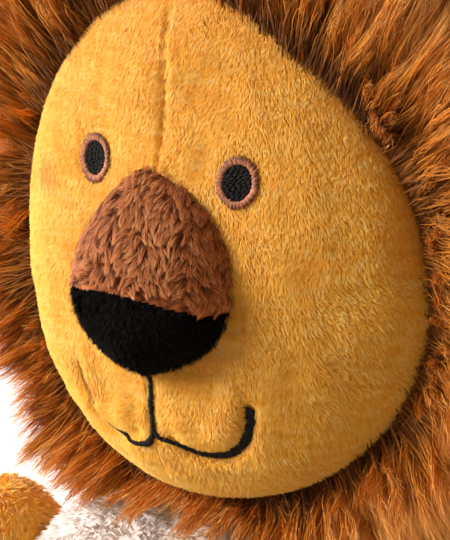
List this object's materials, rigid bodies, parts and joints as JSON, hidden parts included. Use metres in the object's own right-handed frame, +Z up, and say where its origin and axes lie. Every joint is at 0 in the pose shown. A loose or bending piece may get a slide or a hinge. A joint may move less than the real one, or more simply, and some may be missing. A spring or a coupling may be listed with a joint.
{
  "type": "sitting plush lion",
  "caption": "Sitting plush lion with a long-pile mane, padded two-colour nose, embroidered face, pale front panel, turning head, swinging arms and legs, and a wagging tail.",
  "frame": {"origin": "on the floor, under the middle of the torso, on the underside of the base panel", "axes": "+Z up, -Y forward out of the face, +X towards the lion's left side"},
  "size_m": [0.223, 0.2948, 0.3231],
  "materials": {
    "golden_plush": "clipped pile",
    "pale_plush": "clipped pile",
    "mane_pile": "long shaggy pile",
    "brown_plush": "tufted pile",
    "black_plush": "short pile",
    "copper_thread": "satin stitch",
    "black_thread": "satin stitch",
    "stuffing": "polyester fibre",
    "pellets": "pellets in a cloth pouch"
  },
  "bodies": {
    "torso": {"body_cover": "golden_plush", "belly_panel": "pale_plush", "base_panel": "golden_plush", "body_stuffing": "stuffing", "pellet_pouch": "pellets"},
    "head": {"face_panel": "golden_plush", "head_back_cover": "mane_pile", "head_stuffing": "stuffing", "nose_bridge": "brown_plush", "nose_tip": "black_plush", "nose_stuffing": "stuffing", "eye_ring_left": "copper_thread", "eye_ring_right": "copper_thread", "eye_pupil_left": "black_thread", "eye_pupil_right": "black_thread", "philtrum": "black_thread", "smile_left": "black_thread", "smile_right": "black_thread", "mane_fringe": "mane_pile", "mane_crown": "mane_pile", "ear_left": "golden_plush", "ear_right": "golden_plush", "ear_lining_left": "pale_plush", "ear_lining_right": "pale_plush"},
    "tail": {"tail_cover": "golden_plush", "tail_stuffing": "stuffing", "tail_tuft": "brown_plush"},
    "arm_left": {"arm_cover_left": "golden_plush", "arm_stuffing_left": "stuffing"},
    "leg_left": {"leg_cover_left": "golden_plush", "leg_stuffing_left": "stuffing", "foot_sole_left": "pale_plush"},
    "arm_right": {"arm_cover_right": "golden_plush", "arm_stuffing_right": "stuffing"},
    "leg_right": {"leg_cover_right": "golden_plush", "leg_stuffing_right": "stuffing", "foot_sole_right": "pale_plush"}
  },
  "joints": [
    {"name": "head_turn", "type": "hinge", "parent": "torso", "child": "head", "pos_m": [0, 0, 0.178], "axis": [0, 0, 1], "range_deg": [-20, 20]},
    {"name": "arm_left_swing", "type": "hinge", "parent": "torso", "child": "arm_left", "pos_m": [0.0632, -0.021, 0.137], "axis": [-0.9781, 0, -0.2079], "range_deg": [-25, 60]},
    {"name": "arm_right_swing", "type": "hinge", "parent": "torso", "child": "arm_right", "pos_m": [-0.0632, -0.021, 0.137], "axis": [-0.9781, 0, 0.2079], "range_deg": [-25, 60]},
    {"name": "leg_left_swing", "type": "hinge", "parent": "torso", "child": "leg_left", "pos_m": [0.042, -0.03894, 0.023], "axis": [-0.7399, 0.6209, 0.2588], "range_deg": [-10, 35]},
    {"name": "leg_right_swing", "type": "hinge", "parent": "torso", "child": "leg_right", "pos_m": [-0.042, -0.03894, 0.023], "axis": [-0.7399, -0.6209, -0.2588], "range_deg": [-10, 35]},
    {"name": "tail_wag", "type": "hinge", "parent": "torso", "child": "tail", "pos_m": [0, 0.06657, 0.03], "axis": [0, 0, 1], "range_deg": [-25, 25]}
  ]
}
